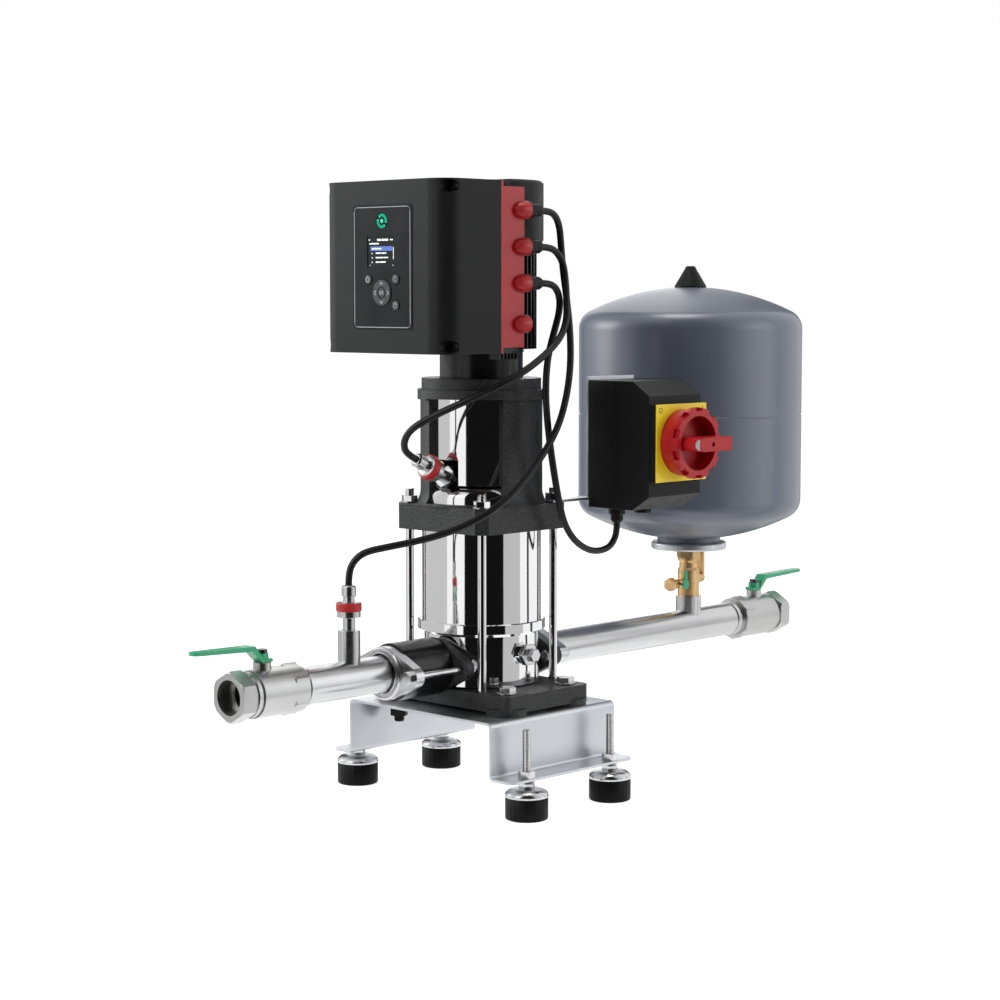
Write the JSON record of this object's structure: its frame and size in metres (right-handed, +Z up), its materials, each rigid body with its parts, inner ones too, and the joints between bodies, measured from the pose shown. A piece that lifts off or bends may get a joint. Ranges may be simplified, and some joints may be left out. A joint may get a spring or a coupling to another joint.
{
  "type": "booster pump set",
  "caption": "Booster set: vertical multistage pump with a frequency converter on its motor, bladder tank, isolating valves and rotary switch, on a bracket with levelling feet.",
  "frame": {"origin": "on the floor below the axis of the pump shaft, midway between the feet", "axes": "+X along the pipe from the inlet to the outlet, +Z up along the pump shaft, so the switch is on the -Y side"},
  "size_m": [1.059, 0.3948, 0.723],
  "materials": {
    "galvanised_steel": "bright zinc, lightly spangled",
    "zinc_steel": "zinc plated",
    "black_cast_iron": "black paint over a cast surface",
    "black_motor_paint": "satin black paint",
    "polished_stainless": "polished",
    "brushed_stainless": "brushed",
    "nickel_plated_brass": "nickel plated, satin",
    "shaft_steel": "ground steel",
    "motor_laminations": "steel sheets with copper windings",
    "black_plastic": "fine matte grain",
    "red_housing": "satin red",
    "panel_plastic": "smooth black",
    "key_plastic": "dark grey keys",
    "red_knob_plastic": "glossy red",
    "red_ring_plastic": "satin red",
    "yellow_plate": "satin yellow",
    "green_enamel": "green dip coating",
    "tank_enamel": "grey-blue enamel",
    "tank_rubber": "black butyl rubber",
    "valve_brass": "machined brass",
    "cable_rubber": "matte black sheath"
  },
  "bodies": {
    "pump_set": {"base_bracket": "galvanised_steel", "switch_bracket": "galvanised_steel", "tank_flange": "galvanised_steel", "hex_fasteners": "zinc_steel", "base_plate": "black_cast_iron", "port_flanges": "black_cast_iron", "motor_stool": "black_cast_iron", "motor_frame": "black_motor_paint", "pump_chamber": "polished_stainless", "outer_sleeve": "polished_stainless", "pump_head": "polished_stainless", "coupling_guards": "polished_stainless", "tie_rods": "polished_stainless", "stage_chambers": "polished_stainless", "suction_pipe": "brushed_stainless", "discharge_pipe": "brushed_stainless", "drain_plug": "brushed_stainless", "sensor_bodies": "brushed_stainless", "ball_valve_bodies": "nickel_plated_brass", "shaft_bearings": "shaft_steel", "motor_stator": "motor_laminations", "fan_cover": "black_plastic", "converter_cover": "black_plastic", "switch_base": "black_plastic", "switch_cover": "black_plastic", "switch_block": "black_plastic", "cable_glands": "black_plastic", "check_valve_housing": "black_plastic", "tank_cap": "black_plastic", "converter_base": "red_housing", "control_panel": "panel_plastic", "sensor_rings": "red_ring_plastic", "switch_plate": "yellow_plate", "tank_shells": "tank_enamel", "tank_diaphragm": "tank_rubber", "tank_valve_body": "valve_brass", "cable_suction": "cable_rubber", "cable_head": "cable_rubber", "cable_supply": "cable_rubber"},
    "rotor": {"pump_shaft": "shaft_steel", "impellers": "polished_stainless", "motor_rotor": "motor_laminations", "cooling_fan": "black_plastic"},
    "inlet_valve": {"inlet_lever": "green_enamel", "inlet_ball": "nickel_plated_brass"},
    "outlet_valve": {"outlet_lever": "green_enamel", "outlet_ball": "nickel_plated_brass"},
    "tank_valve": {"tank_valve_lever": "valve_brass"},
    "drain_cock": {"drain_lever": "green_enamel"},
    "switch_knob": {"switch_handle": "red_knob_plastic"},
    "home_key": {"home_button": "key_plastic"},
    "back_key": {"back_button": "key_plastic"},
    "power_key": {"power_button": "key_plastic"},
    "ring_key": {"navigation_ring": "key_plastic"},
    "ok_key": {"ok_button": "key_plastic"},
    "check_flap": {"check_poppet": "brushed_stainless"},
    "foot_left_front": {"foot_1": "zinc_steel"},
    "foot_left_rear": {"foot_2": "zinc_steel"},
    "foot_right_front": {"foot_3": "zinc_steel"},
    "foot_right_rear": {"foot_4": "zinc_steel"}
  },
  "joints": [
    {"name": "rotor_spin", "type": "hinge", "parent": "pump_set", "child": "rotor", "pos_m": [0, 0, 0.45], "axis": [0, 0, 1], "continuous": true},
    {"name": "inlet_lever_turn", "type": "hinge", "parent": "pump_set", "child": "inlet_valve", "pos_m": [-0.339, 0, 0.2], "axis": [0, 0, -1], "range_deg": [0, 90]},
    {"name": "outlet_lever_turn", "type": "hinge", "parent": "pump_set", "child": "outlet_valve", "pos_m": [0.524, 0, 0.2], "axis": [0, 0, -1], "range_deg": [0, 90]},
    {"name": "tank_lever_turn", "type": "hinge", "parent": "pump_set", "child": "tank_valve", "pos_m": [0.4, 0, 0.2218], "axis": [-1, 0, 0], "range_deg": [0, 90]},
    {"name": "drain_lever_turn", "type": "hinge", "parent": "pump_set", "child": "drain_cock", "pos_m": [0.365, -0.01, 0.2168], "axis": [0, -1, 0], "range_deg": [0, 90]},
    {"name": "switch_turn", "type": "hinge", "parent": "pump_set", "child": "switch_knob", "pos_m": [0.157, -0.19, 0.418], "axis": [0, 1, 0], "range_deg": [0, 90]},
    {"name": "check_flap_lift", "type": "slide", "parent": "pump_set", "child": "check_flap", "axis": [1, 0, 0], "range_m": [0, 0.012], "stiffness_N_per_m": 60, "springref_m": -0.01},
    {"name": "home_key_press", "type": "slide", "parent": "pump_set", "child": "home_key", "axis": [1, 0, 0], "range_m": [0, 0.0008], "stiffness_N_per_m": 500},
    {"name": "back_key_press", "type": "slide", "parent": "pump_set", "child": "back_key", "axis": [1, 0, 0], "range_m": [0, 0.0008], "stiffness_N_per_m": 500},
    {"name": "power_key_press", "type": "slide", "parent": "pump_set", "child": "power_key", "axis": [1, 0, 0], "range_m": [0, 0.0008], "stiffness_N_per_m": 500},
    {"name": "ring_key_press", "type": "slide", "parent": "pump_set", "child": "ring_key", "axis": [1, 0, 0], "range_m": [0, 0.0008], "stiffness_N_per_m": 500},
    {"name": "ok_key_press", "type": "slide", "parent": "pump_set", "child": "ok_key", "axis": [1, 0, 0], "range_m": [0, 0.0008], "stiffness_N_per_m": 500},
    {"name": "foot_left_front_screw", "type": "slide", "parent": "pump_set", "child": "foot_left_front", "axis": [0, 0, -1], "range_m": [0, 0.04]},
    {"name": "foot_left_rear_screw", "type": "slide", "parent": "pump_set", "child": "foot_left_rear", "axis": [0, 0, -1], "range_m": [0, 0.04]},
    {"name": "foot_right_front_screw", "type": "slide", "parent": "pump_set", "child": "foot_right_front", "axis": [0, 0, -1], "range_m": [0, 0.04]},
    {"name": "foot_right_rear_screw", "type": "slide", "parent": "pump_set", "child": "foot_right_rear", "axis": [0, 0, -1], "range_m": [0, 0.04]}
  ]
}
